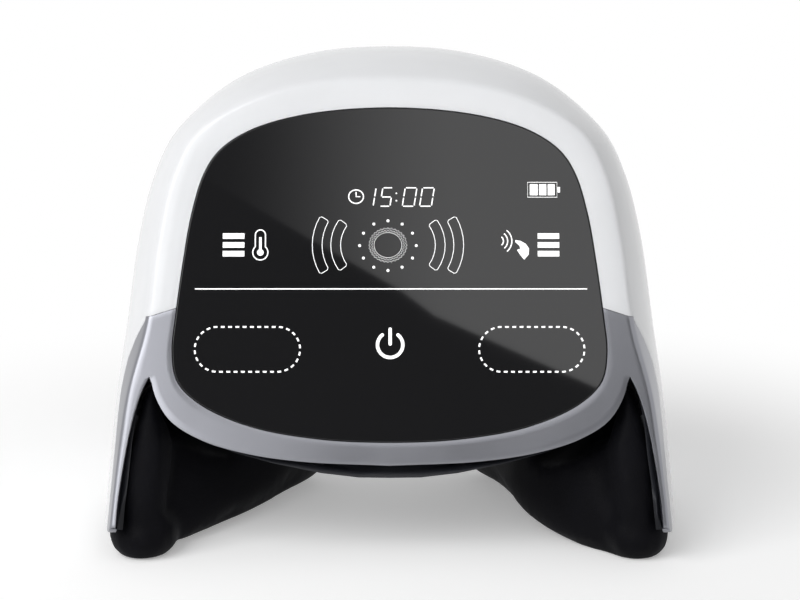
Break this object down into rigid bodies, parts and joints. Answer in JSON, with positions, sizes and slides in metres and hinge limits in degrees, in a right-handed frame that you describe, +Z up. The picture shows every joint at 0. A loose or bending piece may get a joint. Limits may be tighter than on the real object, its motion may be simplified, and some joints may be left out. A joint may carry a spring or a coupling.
{
  "type": "knee massager",
  "caption": "Helmet-shaped cordless knee massager with a tilted touch panel, a white hood and soft side cushions.",
  "frame": {"origin": "on the surface that the cushions stand on, under the middle of the massager", "axes": "+X to the right seen from the panel side, +Y from the panel to the back, +Z up"},
  "size_m": [0.2076, 0.1316, 0.1722],
  "materials": {
    "white_gloss": "gloss",
    "grey_satin": "satin",
    "black_satin": "satin",
    "black_glass": "gloss",
    "black_fabric": "woven",
    "foam_tape": "matte",
    "white_plastic": "matte",
    "circuit_board": "satin",
    "steel": "satin",
    "brass": "satin",
    "silicone": "matte",
    "clear_tubing": "satin",
    "bladder": "matte",
    "battery_wrap": "gloss",
    "red_lead": "satin",
    "film": "satin"
  },
  "bodies": {
    "housing": {"touch_glass": "black_glass", "glass_adhesive": "foam_tape", "outer_shell": "white_gloss", "lower_frame": "grey_satin", "inner_shell": "black_satin", "light_mask": "white_plastic", "display_board": "circuit_board", "left_key_spring": "steel", "power_key_spring": "steel", "right_key_spring": "steel", "main_board": "circuit_board", "board_connector": "black_satin", "buzzer": "black_satin", "battery_pack": "battery_wrap", "battery_foam": "foam_tape", "charging_socket": "steel", "charging_board": "circuit_board", "pump_motor": "steel", "pump_head": "white_plastic", "pump_cradle": "black_satin", "left_motor": "steel", "left_motor_cradle": "black_satin", "right_motor": "steel", "right_motor_cradle": "black_satin", "valve_body": "white_plastic", "valve_spring": "steel", "air_tee": "white_plastic", "valve_tube": "clear_tubing", "pump_tube": "clear_tubing", "right_air_tube": "clear_tubing", "left_air_tube": "clear_tubing", "battery_lead": "red_lead", "pump_lead": "red_lead", "left_motor_lead": "red_lead", "right_motor_lead": "red_lead", "heater_lead": "red_lead", "heating_film": "film", "knee_pad": "silicone", "temperature_sensor": "brass", "left_airbag": "bladder", "right_airbag": "bladder", "housing_screw_1": "steel", "housing_screw_2": "steel", "housing_screw_3": "steel", "housing_screw_4": "steel", "display_screw_1": "steel", "display_screw_2": "steel", "display_screw_3": "steel", "display_screw_4": "steel", "board_screw_1": "steel", "board_screw_2": "steel"},
    "left_pad": {"left_cushion": "black_fabric", "left_cushion_plate": "black_satin"},
    "right_pad": {"right_cushion": "black_fabric", "right_cushion_plate": "black_satin"},
    "left_weight": {"left_weight": "brass"},
    "right_weight": {"right_weight": "brass"},
    "pump_eccentric": {"pump_eccentric": "white_plastic"},
    "valve_plunger": {"valve_plunger": "steel"}
  },
  "joints": [
    {"name": "left_pad_swing", "type": "hinge", "parent": "housing", "child": "left_pad", "pos_m": [-0.096, -0.05634, 0.02], "axis": [0, 0, -1], "range_deg": [0, 5], "stiffness_Nm_per_rad": 2, "deforming": ["left_airbag"]},
    {"name": "right_pad_swing", "type": "hinge", "parent": "housing", "child": "right_pad", "pos_m": [0.096, -0.05634, 0.02], "axis": [0, 0, 1], "range_deg": [0, 5], "stiffness_Nm_per_rad": 2, "deforming": ["right_airbag"]},
    {"name": "left_weight_spin", "type": "hinge", "parent": "housing", "child": "left_weight", "pos_m": [-0.043, -0.01807, 0.09748], "axis": [0, 0.342, 0.9397], "continuous": true},
    {"name": "right_weight_spin", "type": "hinge", "parent": "housing", "child": "right_weight", "pos_m": [0.043, -0.01807, 0.09748], "axis": [0, 0.342, 0.9397], "continuous": true},
    {"name": "pump_spin", "type": "hinge", "parent": "housing", "child": "pump_eccentric", "pos_m": [0.066, -0.02184, 0.07544], "axis": [0, 0.342, 0.9397], "continuous": true},
    {"name": "valve_slide", "type": "slide", "parent": "housing", "child": "valve_plunger", "axis": [1, 0, 0], "range_m": [0, 0.0015], "stiffness_N_per_m": 30, "deforming": ["valve_spring"]}
  ]
}
